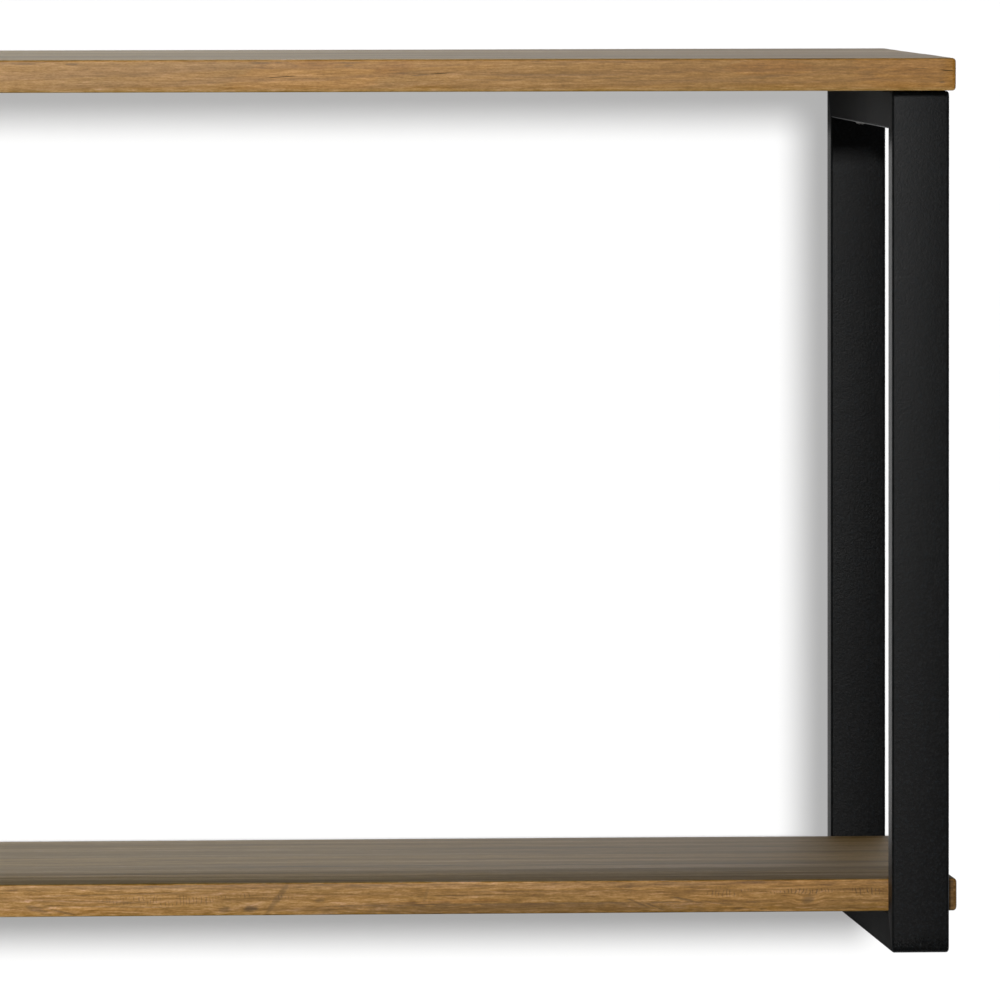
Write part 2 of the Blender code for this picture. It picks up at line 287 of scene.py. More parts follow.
class ShelfLoopSettings(bpy.types.PropertyGroup):
    """Form and finish of the tube loops."""

    wall: Length(name="Tube Wall", description="Wall of the tube", default=0.0015)
    edge_radius: Length(name="Edge Radius", description="Radius of the tube's long edges", default=0.0015)
    bore_radius: Length(
        name="Bore Radius", description="Radius inside the tube's corners", default=0.0005)
    corner_radius: Length(
        name="Loop Corner Radius", description="Radius of the loop's ground outer corners",
        default=0.0035)
    weld_leg: Length(name="Weld Leg", description="Leg of the weld in each inner corner", default=0.0018)
    screw_hole: Length(name="Screw Hole", description="Diameter of the holes in the bars", default=0.005)
    keyhole_entry: Length(
        name="Keyhole Entry", description="Diameter of the round entry of a keyhole", default=0.010)
    keyhole_slot: Length(name="Keyhole Slot", description="Width of the slot of a keyhole", default=0.005)
    keyhole_rise: Length(
        name="Keyhole Rise", description="From the entry's centre up to the slot's end centre",
        default=0.011)
    coat: Colour(name="Coat", description="Colour of the powder coat", default=(0.0028, 0.0030, 0.0031))
    front_gloss: FloatProperty(
        name="Front Gloss", description="Gloss level of the coat on the front posts", default=0.085)
    # The rear posts and the bars get a lower gloss as painted shade, so that they read darker than the
    # front posts
    rear_gloss: FloatProperty(
        name="Rear Gloss", description="Gloss level of the coat on the rear posts", default=0.065)
    bar_gloss: FloatProperty(
        name="Bar Gloss", description="Gloss level of the thicker, duller coat on the bars",
        default=0.048)
    grain: Length(name="Coat Grain", description="Size of the grain of the powder coat", default=0.0012)


class ShelfScrewSettings(bpy.types.PropertyGroup):
    """Form and finish of the pan-head screws."""

    shank_diameter: Length(name="Shank", description="Diameter over the thread", default=0.004)
    thread_depth: Length(name="Thread Depth", description="Height of the thread", default=0.0006)
    thread_pitch: Length(
        name="Thread Pitch", description="Rise of the thread in one turn", default=0.0018)
    head_height: Length(name="Head Height", description="Height of the pan head", default=0.0031)
    head_rim: Length(name="Head Rim", description="Upright rim of the pan head", default=0.0006)
    stand_off: Length(
        name="Stand Off", description="How far short of home the screws are driven", default=0.0004)
    tip: Length(name="Tip", description="Length of the point", default=0.004)
    recess_length: Length(
        name="Recess Length", description="Tip to tip of the cross recess", default=0.0036)
    recess_width: Length(name="Recess Width", description="Width of an arm of the recess", default=0.001)
    recess_depth: Length(name="Recess Depth", description="Depth of the cross recess", default=0.0014)
    steel: Colour(name="Steel", description="Colour of the blackened steel", default=(0.24, 0.235, 0.23))


class ShelfStageSettings(bpy.types.PropertyGroup):
    """Camera, lamps, wall and floor."""

    camera_place: Place(
        name="Camera Place", description="Where the camera stands", default=(0.0157, -7.0994, 0.1650))
    camera_pan: Angle(name="Pan", description="Turn to the right", default=0.07306)
    camera_tilt: Angle(name="Tilt", description="Turn upward", default=-0.04899)
    camera_roll: Angle(name="Roll", description="Turn of the frame", default=-0.00133)
    lens: FloatProperty(
        name="Lens", description="Focal length in millimetres", default=469.3, unit="CAMERA")
    key_place: Place(
        name="Key Place", description="Where the key lamp stands", default=(0.10, -4.60, 0.58))
    key_aim: Place(name="Key Aim", description="What the key lamp points at", default=(0.25, 0.0, -0.15))
    key_size: Length(name="Key Size", description="Side of the key lamp", default=0.15)
    key_share: FloatProperty(
        name="Key Share", description="Share of the front light that the key lamp gives", default=0.65)
    around_light: FloatProperty(
        name="Around Light", description="Brightness of the surroundings at eye level", default=0.35)
    overhead_light: FloatProperty(
        name="Overhead Light", description="Brightness of the surroundings overhead", default=0.30)
    upper_wall_glow: FloatProperty(
        name="Upper Wall Glow", description="How pale the upper wall stays in full shadow", default=0.422)
    lower_wall_glow: FloatProperty(
        name="Lower Wall Glow", description="How pale the lower wall stays in full shadow", default=0.355)
    wall_tone: FloatProperty(
        name="Wall Tone", description="How much lamp light the wall gives back", default=0.15)
    wall_seam: Length(
        name="Wall Seam", description="From the origin down to where the wall's lamps change over",
        default=0.39)
    wall_lamp_turn: Angle(
        name="Wall Lamp Turn", description="How far right the wall's lamps stand", default=radians(2.65))
    upper_lamp_rise: Angle(
        name="Upper Lamp Rise", description="How high the lamp for the upper wall stands",
        default=radians(3.65))
    lower_lamp_rise: Angle(
        name="Lower Lamp Rise", description="How high the lamp for the lower wall stands",
        default=radians(7.05))
    wall_lamp_spread: Angle(
        name="Wall Lamp Spread", description="Width of the wall's lamps", default=radians(4.1))
    floor_drop: Length(name="Floor Drop", description="From the origin down to the floor", default=1.30)
    floor_colour: Colour(name="Floor", description="Colour of the floor", default=(0.62, 0.61, 0.59))


SETTINGS = {
    "shelf_boards": ShelfBoardSettings,
    "shelf_loops": ShelfLoopSettings,
    "shelf_screws": ShelfScrewSettings,
    "shelf_stage": ShelfStageSettings,
}


class Graph:
    """Short names for the nodes of one shader tree."""

    def __init__(self, tree):
        self.tree = tree

    def node(self, kind, inputs=None, **settings):
        """Add a node, set its fields, and link or set its inputs by name or place."""
        node = self.tree.nodes.new(kind)
        for field, value in settings.items():
            setattr(node, field, value)
        for key, value in (inputs or {}).items():
            self.feed(node.inputs[key], value)
        return node

    def feed(self, socket, value):
        if isinstance(value, bpy.types.NodeSocket):
            self.tree.links.new(value, socket)
        elif socket.type == "RGBA" and len(value) == 3:
            socket.default_value = (*value, 1.0)
        else:
            socket.default_value = value

    def math(self, operation, *values, clamp=False):
        inputs = dict(enumerate(values))
        return self.node("ShaderNodeMath", inputs, operation=operation, use_clamp=clamp).outputs[0]

    def times(self, first, *others):
        for other in others:
            first = self.math("MULTIPLY", first, other)
        return first

    def plus(self, first, second, clamp=False):
        return self.math("ADD", first, second, clamp=clamp)

    def minus(self, first, second, clamp=False):
        return self.math("SUBTRACT", first, second, clamp=clamp)

    def ratio(self, first, second):
        return self.math("DIVIDE", first, second)

    def larger(self, first, second):
        return self.math("MAXIMUM", first, second)

    def lift(self, value, share, base, clamp=False):
        """A share of a value on top of a base."""
        return self.math("MULTIPLY_ADD", value, share, base, clamp=clamp)

    def shade(self, tone, mask, share):
        """A tone made lighter or darker by a share, where a mask is full."""
        return self.times(tone, self.lift(mask, share, 1.0))

    def vector(self, operation, *values):
        inputs = dict(enumerate(values))
        return self.node("ShaderNodeVectorMath", inputs, operation=operation).outputs[0]

    def split(self, vector):
        return self.node("ShaderNodeSeparateXYZ", {0: vector}).outputs

    def join(self, x, y, z):
        return self.node("ShaderNodeCombineXYZ", {0: x, 1: y, 2: z}).outputs[0]

    def rise(self, value, low, high, to_low=0.0, to_high=1.0):
        """A smooth step between two values."""
        inputs = {"Value": value, 1: low, 2: high, 3: to_low, 4: to_high}
        node = self.node("ShaderNodeMapRange", inputs, interpolation_type="SMOOTHSTEP")
        return node.outputs[0]

    def noise(self, vector, scale=None, detail=2.0, roughness=0.5):
        """Cloudy values, with a scale for each direction."""
        if scale:
            vector = self.vector("MULTIPLY", vector, scale)
        inputs = {"Vector": vector, "Scale": 1.0, "Detail": detail, "Roughness": roughness}
        return self.node("ShaderNodeTexNoise", inputs).outputs[0]

    def mix(self, factor, first, second, blend="MIX"):
        """Blend two colours."""
        node = self.node("ShaderNodeMix", data_type="RGBA", blend_type=blend)
        self.feed(node.inputs[0], factor)
        self.feed(node.inputs[6], first)
        self.feed(node.inputs[7], second)
        return node.outputs[2]

    def scale(self, colour, value):
        """Make a colour lighter or darker by a value."""
        return self.vector("MULTIPLY", colour, self.join(*[value] * 3))

    def bump(self, height, distance, strength=1.0):
        inputs = {"Height": height, "Distance": distance, "Strength": strength}
        return self.node("ShaderNodeBump", inputs).outputs[0]

    def group(self, make, inputs):
        """Place a shared node group, which is made on first use."""
        name = make.__name__.removeprefix("make_")
        tree = bpy.data.node_groups.get(name) or make(name)
        return self.node("ShaderNodeGroup", inputs, node_tree=tree).outputs


def start_group(name, inputs, outputs):
    """A new shader node group with named sockets; gives its graph, its inputs and its output node."""
    tree = bpy.data.node_groups.new(name, "ShaderNodeTree")
    for socket, kind in inputs.items():
        tree.interface.new_socket(socket, in_out="INPUT", socket_type=f"NodeSocket{kind}")
    for socket, kind in outputs.items():
        tree.interface.new_socket(socket, in_out="OUTPUT", socket_type=f"NodeSocket{kind}")
    graph = Graph(tree)
    return graph, graph.node("NodeGroupInput").outputs, graph.node("NodeGroupOutput").inputs


def make_pine_figure(name):
    """Rings, fibres, streaks and clouds of pine staves glued side by side, as one solid figure."""
    inputs = {"Position": "Vector", "Front Edge": "Float", "Underside": "Float", "Stave Width": "Float",
              "Ring Spacing": "Float", "Seed": "Float", "Bend": "Float"}
    outputs = {"Late Wood": "Float", "Fibre": "Float", "Streak": "Float", "Band": "Float",
               "Cloud": "Float", "Pore": "Float", "Stave": "Float", "Glue Line": "Float"}
    g, given, put = start_group(name, inputs, outputs)
    x, y, z = g.split(given["Position"])
    across = g.ratio(g.minus(y, given["Front Edge"]), given["Stave Width"])
    index = g.math("FLOOR", across)
    from_middle = g.times(g.minus(g.minus(across, index), 0.5), given["Stave Width"])
    height = g.minus(z, given["Underside"])

    chance = g.node("ShaderNodeTexWhiteNoise", noise_dimensions="1D")
    g.feed(chance.inputs["W"], g.plus(index, given["Seed"]))
    first, second, third = g.split(chance.outputs["Color"])
    moved = g.join(g.lift(first, 9.0, x), y, g.plus(z, given["Bend"]))

    # The pith runs along the board, above or below it and off to one side
    pith_side = g.lift(g.math("GREATER_THAN", third, 0.5), 2.0, -1.0)
    pith_height = g.times(pith_side, g.lift(second, 0.05, 0.02))
    pith_across = g.lift(first, 0.09, -0.045)
    drift = g.noise(moved, (1.6, 6.0, 6.0), 1.0)
    ripple = g.noise(moved, (14.0, 60.0, 60.0), 3.0)
    side = g.plus(g.minus(from_middle, pith_across), g.lift(drift, 0.040, -0.020))
    up = g.minus(height, pith_height)
    radius = g.math("SQRT", g.plus(g.math("POWER", side, 2.0), g.math("POWER", up, 2.0)))
    radius = g.plus(radius, g.lift(ripple, 0.0050, given["Bend"]))
    phase = g.ratio(radius, given["Ring Spacing"])
    uneven = g.noise(g.join(g.times(phase, 0.45), first, second), detail=1.0)
    ring = g.math("FRACT", g.lift(uneven, 1.6, phase))
    late = g.times(g.rise(ring, 0.20, 0.80), g.rise(ring, 0.85, 1.0, 1.0, 0.0))
    g.feed(put["Late Wood"], late)

    layers = {"Fibre": ((120.0, 1100.0, 1100.0), 4.0, 0.7), "Streak": ((34.0, 680.0, 680.0), 3.0, 0.6),
              "Band": ((3.0, 58.0, 85.0), 4.0, 0.7), "Cloud": ((13.0, 40.0, 80.0), 2.5, 0.6),
              "Pore": ((620.0, 1500.0, 1500.0), 1.0, 0.5)}
    for socket, layer in layers.items():
        g.feed(put[socket], g.noise(moved, *layer))
    g.feed(put["Stave"], chance.outputs["Value"])
    nearest = g.math("ABSOLUTE", g.minus(across, g.math("ROUND", across)))
    nearest = g.times(nearest, given["Stave Width"])
    g.feed(put["Glue Line"], g.rise(nearest, 0.0001, 0.0004, 1.0, 0.0))
    return g.tree


def make_board_mark(name):
    """A mark on the front edge of a board, frayed at its rim and fading with depth."""
    inputs = {"Position": "Vector", "Centre": "Vector", "Length": "Float", "Height": "Float",
              "Slope": "Float", "Lean": "Float", "Depth": "Float", "Fray": "Float", "Ragged": "Float",
              "Soft": "Float"}
    g, given, put = start_group(name, inputs, {"Mask": "Float", "Bend": "Float"})
    x, y, z = g.split(g.vector("SUBTRACT", given["Position"], given["Centre"]))
    along = g.ratio(g.minus(x, g.times(z, given["Lean"])), g.times(given["Length"], 0.5))
    over = g.ratio(g.minus(z, g.times(x, given["Slope"])), g.times(given["Height"], 0.5))
    reach = g.plus(g.math("POWER", along, 2.0), g.math("POWER", over, 2.0))
    fray = g.times(g.minus(given["Fray"], 0.5), given["Ragged"])
    beyond = g.ratio(g.minus(g.plus(reach, fray), 1.0), given["Soft"])
    inside = g.rise(y, 0.0, given["Depth"], 1.0, 0.0)
    g.feed(put["Mask"], g.times(g.rise(beyond, -1.0, 1.0, 1.0, 0.0), inside))
    g.feed(put["Bend"], g.times(g.rise(reach, 0.0, 9.0, 1.0, 0.0), inside))
    return g.tree


def make_fine_grain(name):
    """Even fine speckle for coated and blackened metal."""
    g, given, put = start_group(name, {"Position": "Vector", "Grain": "Float"},
                                {"Speckle": "Float", "Height": "Float"})
    cells = g.vector("DIVIDE", given["Position"], g.join(*[given["Grain"]] * 3))
    coarse = g.noise(cells, detail=1.0, roughness=0.6)
    fine = g.noise(cells, (2.7, 2.7, 2.7), 2.0, 0.6)
    height = g.lift(fine, 0.5, g.times(coarse, 0.5))
    g.feed(put["Speckle"], g.rise(height, 0.3, 0.7))
    g.feed(put["Height"], height)
    return g.tree


def make_rubbed_edge(name):
    """Where handling has rubbed an edge, broken up along it."""
    g, given, put = start_group(name, {"Position": "Vector", "Edge": "Float", "Patch": "Float"},
                                {"Mask": "Float"})
    patches = g.vector("DIVIDE", given["Position"], g.join(*[given["Patch"]] * 3))
    broken = g.rise(g.noise(patches, detail=3.0, roughness=0.6), 0.35, 0.7)
    g.feed(put["Mask"], g.times(given["Edge"], broken))
    return g.tree


def start_material(name):
    """A new material; gives it, its graph, its Principled shader and the place on the object."""
    material = bpy.data.materials.new(name)
    material.use_nodes = True
    g = Graph(material.node_tree)
    shader = material.node_tree.nodes["Principled BSDF"]
    place = g.node("ShaderNodeTexCoord").outputs["Object"]
    return material, g, shader, place


def edge_mask(g, place, patch):
    """The rubbed edges of a piece, from the edge values stored on its mesh."""
    edge = g.node("ShaderNodeAttribute", attribute_name="edge").outputs["Fac"]
    return g.group(make_rubbed_edge, {"Position": place, "Edge": edge, "Patch": patch})["Mask"]


def place_marks(g, place, low, high, marks, kind, fray):
    """Each mark of one kind, with its mask and its bend of the fibres."""
    ragged, soft = MARK_RIMS[kind]
    placed = []
    for mark in marks[kind]:
        placed.append((mark, g.group(make_board_mark, {
            "Position": place, "Centre": mark.centre(low, high), "Length": mark.length,
            "Height": mark.height, "Slope": mark.slope, "Lean": mark.lean, "Depth": MARK_DEPTH,
            "Fray": fray, "Ragged": ragged, "Soft": soft})))
    return placed


def strongest_mark(g, placed):
    """Where marks of one kind show, by the strongest of them."""
    mask = 0.0
    for mark, shown in placed:
        mask = g.larger(mask, g.times(shown["Mask"], mark.strength))
    return mask


def bend_of_fibres(g, placed):
    """How far the fibres give way round the knots."""
    bend = 0.0
    for mark, shown in placed:
        bend = g.lift(shown["Bend"], KNOT_BEND * mark.height, bend)
    return bend


def saw_ticks(g, place, mask, pitch):
    """Rows of short upright ticks that the saw left."""
    unsteady = g.noise(place, (130.0, 60.0, 130.0))
    comb = g.lift(g.split(place)[0], tau / pitch, g.times(unsteady, TICK_WANDER))
    patchy = g.rise(g.noise(place, (210.0, 60.0, 420.0), 1.0), 0.40, 0.58)
    return g.times(g.rise(g.math("SINE", comb), 0.3, 0.95), patchy, mask)


def fibre_swing(g, figure, flat, contrast):
    """How far the fibres stand off the mean, for each part of the colour."""
    layers = {"Fibre": 1.0 * contrast, "Streak": 0.7 * contrast, "Pore": 0.55}
    swings = [g.lift(figure[layer], amount, 1.0 - 0.5 * amount) for layer, amount in layers.items()]
    band = g.times(g.minus(figure["Band"], 0.5), g.lift(flat, 2.5, 0.15 * contrast))
    grown = g.larger(g.times(*swings, g.plus(band, 1.0)), 0.1)
    return g.join(*[g.math("POWER", grown, power) for power in FIBRE_POWERS])


def make_pine(name, low, high, looks, settings):
    """Stained pine for one board, with its own marks on the front edge."""
    material, g, shader, place = start_material(name)
    x, y, z = g.split(place)
    fray = g.noise(place, (160.0, 160.0, 900.0), 3.0)
    placed = {kind: place_marks(g, place, low, high, looks["marks"], kind, fray) for kind in MARK_RIMS}
    mask = {kind: strongest_mark(g, marks) for kind, marks in placed.items()}
    dark = g.larger(mask["knots"], mask["streaks"])
    figure = g.group(make_pine_figure, {
        "Position": place, "Front Edge": low.y, "Underside": low.z, "Seed": looks["seed"],
        "Bend": bend_of_fibres(g, placed["knots"]), "Ring Spacing": settings.ring_spacing,
        "Stave Width": (high.y - low.y) / settings.stave_count})
    normal = g.split(g.node("ShaderNodeTexCoord").outputs["Normal"])
    flat = g.rise(g.math("ABSOLUTE", normal[2]), 0.5, 0.9)
    end = g.rise(g.math("ABSOLUTE", normal[0]), 0.6, 0.9)
    ticks = saw_ticks(g, place, mask["ticks"], settings.tick_pitch)

    # Thin stain shows honey, thick stain olive, and the upper edge is rubbed to honey
    rim = g.rise(z, *(high.z - inset for inset in HONEY_RIM))
    honey = g.rise(figure["Cloud"], 0.26, 0.80, 0.28, 0.68)
    honey = g.larger(honey, g.larger(mask["warm"], g.times(rim, 0.8)))
    colour = g.mix(honey, settings.olive_wood, settings.honey_wood)
    shows = g.lift(flat, -0.3 * settings.ring_strength, settings.ring_strength)
    late = g.times(figure["Late Wood"], shows)
    colour = g.mix(late, colour, settings.late_wood)
    colour = g.mix(mask["amber"], colour, settings.amber_wood)
    # Painted light: the lower edge is mixed toward a paler tan, as if lit from below
    low_edge = g.rise(z, *(low.z + inset for inset in LOW_EDGE_LIGHT), looks["low_edge"], 0.0)
    colour = g.mix(low_edge, colour, settings.worn_wood)
    # Painted sheen: the wide faces go greyer, standing in for the reflection of the pale surroundings
    colour = g.mix(g.times(flat, settings.patina), colour, settings.patina_grey)
    colour = g.vector("MULTIPLY", colour, fibre_swing(g, figure, flat, looks["contrast"]))

    # Staves and their glue lines tell apart on the wide faces and the ends
    shown = g.larger(flat, end)
    tone = g.plus(g.times(g.minus(figure["Stave"], 0.5), g.lift(shown, 0.12, 0.14)), 1.0)
    tone = g.shade(tone, g.times(figure["Glue Line"], shown), GLUE_SHADE)
    tone = g.shade(tone, ticks, TICK_SHADE)
    # Painted shade along the front of the top, in a strip that fades inward; the same strip makes the top
    # rougher there
    from_start = g.lift(figure["Band"], FRONT_WANDER, g.minus(y, low.y + FRONT_START))
    front_strip = g.times(g.rise(from_start, 0.0, FRONT_FADE, 1.0, 0.0), flat, -looks["front_painted_shade"])
    tone = g.times(tone, g.plus(front_strip, 1.0))

    # Toward the ends the colour is darker and more saturated: painted falloff of the key light and its
    # sheen
    from_middle = g.math("ABSOLUTE", x)
    toward_ends = g.rise(from_middle, settings.soak_start * high.x, high.x)
    light_falloff = g.lift(toward_ends, -looks["light_falloff"], 1.0)
    yellow = g.math("POWER", light_falloff, g.lift(flat, -1.2, 2.2))
    colour = g.vector("MULTIPLY", colour, g.join(light_falloff, g.math("POWER", light_falloff, 1.2), yellow))
    # Painted shade on the top, darker still toward the ends by the loops; the same ramp makes the top
    # rougher there
    top_toward_ends = g.times(g.math("POWER", toward_ends, 2.0), flat)
    tone = g.times(tone, g.plus(g.times(top_toward_ends, -looks["top_painted_shade"]), 1.0))
    # Painted shadow of the front post over the last millimetres of the board
    end_strip = g.rise(from_middle, *(high.x - inset for inset in END_STRIP))
    tone = g.shade(tone, end_strip, -looks["end_painted_shadow"])
    tone = g.shade(tone, end, END_SHADE)
    tone = g.lift(edge_mask(g, place, WEAR_PATCH), EDGE_WEAR, tone)
    g.feed(shader.inputs["Base Color"], g.mix(dark, g.scale(colour, tone), settings.knot_brown))

    rough = g.lift(late, -0.06, g.lift(figure["Fibre"], 0.12, 0.38))
    dull = g.lift(top_toward_ends, looks["end_dull"], g.times(flat, looks["dullness"]))
    dull = g.lift(front_strip, -0.6, dull)
    g.feed(shader.inputs["Roughness"], g.plus(rough, dull, clamp=True))
    relief = g.lift(figure["Fibre"], 0.35, g.times(figure["Streak"], 0.25))
    relief = g.lift(dark, -0.5, g.lift(ticks, -0.35, relief))
    g.feed(shader.inputs["Normal"], g.bump(relief, 0.00020, 0.4))
    shader.inputs["Specular IOR Level"].default_value = 0.2
    return material


# For each tube of a loop, the gloss setting of its coat, the coat's roughness, and how much duller it gets
# toward the wall. The lower gloss of the rear posts and the bars is painted shade
COAT_FINISHES = {
    "front_post": ("front_gloss", 0.32, 0.0),
    "rear_post": ("rear_gloss", 0.265, 0.0),
    "top_bar": ("bar_gloss", 0.25, 0.34),
    "bottom_bar": ("bar_gloss", 0.38, 0.30),
}
COAT_PATCH = 0.015
# Colour of the cooler specks against that of the coat
COOLER = (0.8, 1.05, 1.25)
FOOT_HEIGHT = 0.014
FOOT_SMOOTHING = -0.22
# How far the duller coat round a weld reaches, in depths of the tube, and how dull it is
WELD_REACH = 1.6
WELD_DULLING = 0.35
# Where the sides start to get duller toward the wall, as a share of the way to the front
DULL_START = 0.8
STEEL_GRAIN = 0.0004
STEEL_PATCH = 0.0015
STEEL_BRIGHTENING = 6.0


def make_powder_coat(name, settings, gloss, roughness, dull_rear):
    """Fine-textured matt black powder coat, duller toward the wall by a given amount."""
    material, g, shader, place = start_material(name)
    grain = g.group(make_fine_grain, {"Position": place, "Grain": settings.grain})
    cloud = g.noise(place, (14.0, 14.0, 14.0), 3.0, 0.6)
    tint = g.noise(place, (420.0, 420.0, 420.0), 1.0)
    cool = [part * share for part, share in zip(settings.coat, COOLER)]
    colour = g.mix(g.rise(tint, 0.4, 0.65), settings.coat, cool)
    tone = g.lift(g.math("POWER", grain["Speckle"], 3.0), 2.0, 0.2)
    rubbed = edge_mask(g, place, COAT_PATCH)
    tone = g.lift(rubbed, 0.5, tone)
    g.feed(shader.inputs["Base Color"], g.scale(colour, tone))
    rough = g.lift(grain["Speckle"], 0.10, g.lift(cloud, 0.08, roughness))
    rough = g.lift(rubbed, -0.06, rough)
    # Round the welds the sides took a thicker, duller coat, and the foot is smoother
    depth, height = g.split(place)[1:]
    from_end = g.math("MINIMUM", g.minus(LOOP_TOP, height), g.minus(height, LOOP_BOTTOM))
    near_weld = g.rise(from_end, TUBE_DEPTH, WELD_REACH * TUBE_DEPTH, 1.0, 0.0)
    facing = g.split(g.node("ShaderNodeTexCoord").outputs["Normal"])
    on_side = g.rise(g.math("ABSOLUTE", facing[0]), 0.7, 0.9)
    foot = g.rise(height, LOOP_BOTTOM, LOOP_BOTTOM + FOOT_HEIGHT, 1.0, 0.0)
    rough = g.lift(g.minus(foot, on_side, clamp=True), FOOT_SMOOTHING, rough)
    rearward = g.rise(depth, DULL_START * LOOP_FRONT, LOOP_BACK, 0.0, dull_rear)
    dull = g.lift(near_weld, WELD_DULLING, rearward)
    g.feed(shader.inputs["Roughness"], g.lift(on_side, dull, rough, clamp=True))
    g.feed(shader.inputs["Normal"], g.bump(grain["Height"], 0.00030, 0.6))
    shader.inputs["Specular IOR Level"].default_value = getattr(settings, gloss)
    return material


def make_blackened_steel(name, settings):
    """Black oxide on turned steel, rubbed bright on the edges of the recess."""
    material, g, shader, place = start_material(name)
    grain = g.group(make_fine_grain, {"Position": place, "Grain": STEEL_GRAIN})
    rubbed = edge_mask(g, place, STEEL_PATCH)
    bright = [min(1.0, part * STEEL_BRIGHTENING) for part in settings.steel]
    colour = g.mix(g.times(rubbed, 0.7), settings.steel, bright)
    g.feed(shader.inputs["Base Color"], g.scale(colour, g.lift(grain["Speckle"], 0.5, 0.75)))
    g.feed(shader.inputs["Roughness"], g.lift(grain["Speckle"], 0.12, 0.30))
    g.feed(shader.inputs["Normal"], g.bump(grain["Height"], 0.00004, 0.5))
    shader.inputs["Metallic"].default_value = 0.9
    return material


def new_object(name, bm):
    """Turn a bmesh of closed shapes into an object of the scene."""
    bmesh.ops.recalc_face_normals(bm, faces=bm.faces[:])
    mesh = bpy.data.meshes.new(name)
    bm.to_mesh(mesh)
    bm.free()
    made = bpy.data.objects.new(name, mesh)
    bpy.context.scene.collection.objects.link(made)
    return made


def add_piece(name, bm, material, slot, *nodes):
    """Turn a bmesh into a piece of the shelf that stands for CAD nodes."""
    piece = new_object(name, bm)
    piece.data.materials.append(material)
    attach(piece, BODY)
    if nodes:
        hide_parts(*nodes)
    return piece


def smooth_over(piece, angle):
    """Shade a piece smooth, apart from edges sharper than an angle in degrees."""
    piece.data.shade_smooth()
    piece.data.set_sharp_from_angle(angle=radians(angle))


def cut_away(piece, bm):
    """Take closed shapes out of a piece for good."""
    cutter = new_object("cutter", bm)
    cut = piece.modifiers.new("cut", "BOOLEAN")
    cut.object = cutter
    cut.operation = "DIFFERENCE"
    depsgraph = bpy.context.evaluated_depsgraph_get()
    finished = bpy.data.meshes.new_from_object(piece.evaluated_get(depsgraph))
    piece.modifiers.clear()
    name = piece.data.name
    spare = (piece.data, cutter.data)
    piece.data = finished
    bpy.data.objects.remove(cutter)
    for mesh in spare:
        bpy.data.meshes.remove(mesh)
    finished.name = name


def bridge(bm, first, second):
    """Join two rings of the same count with quads."""
    count = len(first)
    for place in range(count):
        after = (place + 1) % count
        bm.faces.new((first[place], first[after], second[after], second[place]))


def loft(bm, rings):
    """Join rings of the same count into one closed shape."""
    for first, second in zip(rings, rings[1:]):
        bridge(bm, first, second)
    bm.faces.new(rings[0])
    bm.faces.new(rings[-1])


def add_rod(bm, diameter, base, height, sides=24):
    """An upright closed cylinder for cutting holes."""
    bmesh.ops.create_cone(
        bm, cap_ends=True, segments=sides, radius1=diameter / 2, radius2=diameter / 2, depth=height,
        matrix=Matrix.Translation((base.x, base.y, base.z + height / 2)))


def screw_places(side, level):
    """Where the heads of the two screws of a bar start, rear and front."""
    places = []
    for end in SCREW_ENDS:
        low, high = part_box(f"{side}_{level}_{end}_screw")
        places.append(Vector(((low.x + high.x) / 2, (low.y + high.y) / 2, low.z)))
    return places


# Boards

CORNER_STEPS = 5
FACE_POINTS = 3
FLAT_PITCH = 0.0175
WAVES_PER_METRE = (5, 30, 60)
KNOCKS_PER_METRE = 45
KNOCK_START = 0.15
# A point this near to a second face moves off both
NEAR_CORNER = 0.9
BOARD_CREASE = 35
CHECK_SIDES = 10
# How far in from the face each section of a check lies, in depths of it, and how wide it is there
CHECK_SECTIONS = ((-1, 1.6), (0, 1.0), (1, 0.12))


def board_outline(half_depth, half_height, radius, flats):
    """Points round a board's section, each with how much it belongs to an eased edge."""
    corners = ((1, 1), (-1, 1), (-1, -1), (1, -1))
    points = []
    for quarter, (side, up) in enumerate(corners):
        centre = Vector((side * (half_depth - radius), up * (half_height - radius)))
        for step in range(CORNER_STEPS + 1):
            angle = pi / 2 * (quarter + step / CORNER_STEPS)
            weight = sin(pi * step / CORNER_STEPS)
            points.append((centre + radius * Vector((cos(angle), sin(angle))), weight))
        after = corners[(quarter + 1) % 4]
        end = Vector((after[0] * (half_depth - radius), after[1] * (half_height - radius)))
        end = end + (points[-1][0] - centre)
        start = points[-1][0]
        count = flats[quarter % 2]
        for step in range(1, count):
            points.append((start.lerp(end, step / count), 0.0))
    return points


def board_stations(half_length, settings):
    """Places along a board, each with how far its section is drawn in there."""
    radius = settings.end_edge_ease
    ease = [pi / 2 * step / CORNER_STEPS for step in range(CORNER_STEPS + 1)]
    left = [(-half_length + radius * (1 - sin(angle)), radius * (1 - cos(angle)))
            for angle in reversed(ease)]
    right = [(-place, inset) for place, inset in reversed(left)]
    count = ceil(2 * (half_length - radius) / settings.station_pitch)
    start = left[-1][0]
    step = -2 * start / count
    between = [(start + step * place, 0.0) for place in range(1, count)]
    return left + between + right


def face_normal(across, up):
    """The way that a board's face looks at a point, from how near the point is to each face."""
    largest = max(abs(across), abs(up))
    parts = [part if abs(part) > NEAR_CORNER * largest else 0.0 for part in (across, up)]
    return Vector((0.0, *parts)).normalized()


def planed(point, weight, seed, settings):
    """How far a point of a board stands off the true face."""
    start = Vector((seed, 0.0, 0.0))
    wave = noise.noise(start + point * Vector(WAVES_PER_METRE))
    knock = max(0.0, noise.noise(start + point * KNOCKS_PER_METRE) - KNOCK_START)
    return settings.planing_wave * wave - settings.edge_knocks * knock * weight


